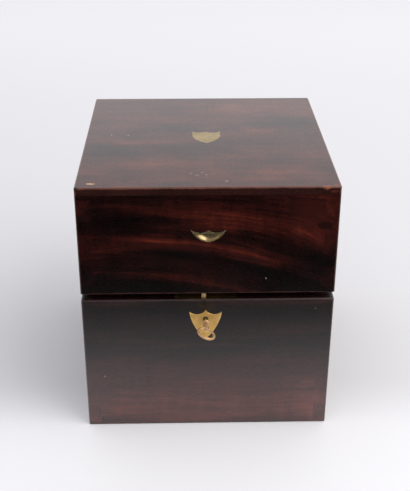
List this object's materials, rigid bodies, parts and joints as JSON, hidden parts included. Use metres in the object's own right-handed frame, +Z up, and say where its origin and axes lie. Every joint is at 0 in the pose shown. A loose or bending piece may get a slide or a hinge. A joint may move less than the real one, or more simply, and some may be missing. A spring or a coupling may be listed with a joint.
{
  "type": "liqueur cabinet",
  "caption": "Square mahogany box with a deep hinged lid, brass shield inlays, a lock with its key, and stoppered glass decanters in cells.",
  "frame": {"origin": "middle of the underside of the box, on the surface that it stands on", "axes": "+Z up; +Y from the front with its lock to the hinged back; +X to the right seen from the front"},
  "size_m": [0.252, 0.3078, 0.2762],
  "materials": {
    "mahogany": "dark red-brown flame mahogany, worn wax polish",
    "lining_mahogany": "plain mahogany, unpolished",
    "green_baize": "napped woollen baize",
    "inlay_brass": "worn satin brass",
    "lock_brass": "dull cast brass",
    "key_brass": "handled brass",
    "screw_brass": "turned brass, dulled",
    "iron": "filed iron, oiled",
    "decanter_glass": "clear blown glass, ground flats",
    "stopper_glass": "clear cut glass, ground plug"
  },
  "bodies": {
    "base": {"base_front_board": "mahogany", "base_back_board": "mahogany", "base_left_board": "mahogany", "base_right_board": "mahogany", "base_bottom_board": "mahogany", "escutcheon": "inlay_brass", "base_hinge_leaf_left": "lock_brass", "base_hinge_leaf_right": "lock_brass", "hinge_pins": "iron", "base_hinge_screws": "screw_brass", "lock_case": "lock_brass", "lock_plate": "lock_brass", "lock_selvedge": "lock_brass", "lock_screws": "screw_brass", "drill_pin": "iron", "bolt_studs": "iron", "lock_spring": "iron", "left_lining": "lining_mahogany", "right_lining": "lining_mahogany", "front_lining": "lining_mahogany", "back_lining": "lining_mahogany", "long_divider": "lining_mahogany", "cross_divider": "lining_mahogany", "floor_baize": "green_baize"},
    "lid": {"lid_front_board": "mahogany", "lid_back_board": "mahogany", "lid_left_board": "mahogany", "lid_right_board": "mahogany", "lid_top_board": "mahogany", "top_cartouche": "inlay_brass", "finger_pull": "inlay_brass", "lid_hinge_leaf_left": "lock_brass", "lid_hinge_leaf_right": "lock_brass", "lid_hinge_screws": "screw_brass", "link_plate": "lock_brass", "link_screws": "screw_brass", "lid_baize": "green_baize"},
    "key": {"key_pipe": "iron", "key_bow": "key_brass"},
    "lock_bolt": {"lock_bolt": "iron"},
    "decanter_front_left": {"decanter_front_left": "decanter_glass"},
    "stopper_front_left": {"stopper_front_left": "stopper_glass"},
    "decanter_front_right": {"decanter_front_right": "decanter_glass"},
    "stopper_front_right": {"stopper_front_right": "stopper_glass"},
    "decanter_back_left": {"decanter_back_left": "decanter_glass"},
    "stopper_back_left": {"stopper_back_left": "stopper_glass"},
    "decanter_back_right": {"decanter_back_right": "decanter_glass"},
    "stopper_back_right": {"stopper_back_right": "stopper_glass"}
  },
  "joints": [
    {"name": "lid_hinge", "type": "hinge", "parent": "base", "child": "lid", "pos_m": [0, 0.1304, 0.15513], "axis": [-1, 0, 0], "range_deg": [-1.4, 93.6]},
    {"name": "key_turn", "type": "hinge", "parent": "base", "child": "key", "pos_m": [-0.0022, -0.134, 0.1326], "axis": [0, -1, 0], "range_deg": [-69, 291]},
    {"name": "bolt_slide", "type": "slide", "parent": "base", "child": "lock_bolt", "axis": [-1, 0, 0], "range_m": [-0.00123, 0.00517]},
    {"name": "lift_decanter_front_left", "type": "slide", "parent": "base", "child": "decanter_front_left", "axis": [0, 0, 1], "range_m": [0, 0.024]},
    {"name": "lift_decanter_front_right", "type": "slide", "parent": "base", "child": "decanter_front_right", "axis": [0, 0, 1], "range_m": [0, 0.024]},
    {"name": "lift_decanter_back_left", "type": "slide", "parent": "base", "child": "decanter_back_left", "axis": [0, 0, 1], "range_m": [0, 0.024]},
    {"name": "lift_decanter_back_right", "type": "slide", "parent": "base", "child": "decanter_back_right", "axis": [0, 0, 1], "range_m": [0, 0.024]},
    {"name": "lift_stopper_front_left", "type": "slide", "parent": "decanter_front_left", "child": "stopper_front_left", "axis": [0, 0, 1], "range_m": [0, 0.024]},
    {"name": "lift_stopper_front_right", "type": "slide", "parent": "decanter_front_right", "child": "stopper_front_right", "axis": [0, 0, 1], "range_m": [0, 0.024]},
    {"name": "lift_stopper_back_left", "type": "slide", "parent": "decanter_back_left", "child": "stopper_back_left", "axis": [0, 0, 1], "range_m": [0, 0.024]},
    {"name": "lift_stopper_back_right", "type": "slide", "parent": "decanter_back_right", "child": "stopper_back_right", "axis": [0, 0, 1], "range_m": [0, 0.024]}
  ],
  "couplings": [
    {"joint": "bolt_slide", "follows": "key_turn", "m_per_rad": 0.0010186}
  ]
}
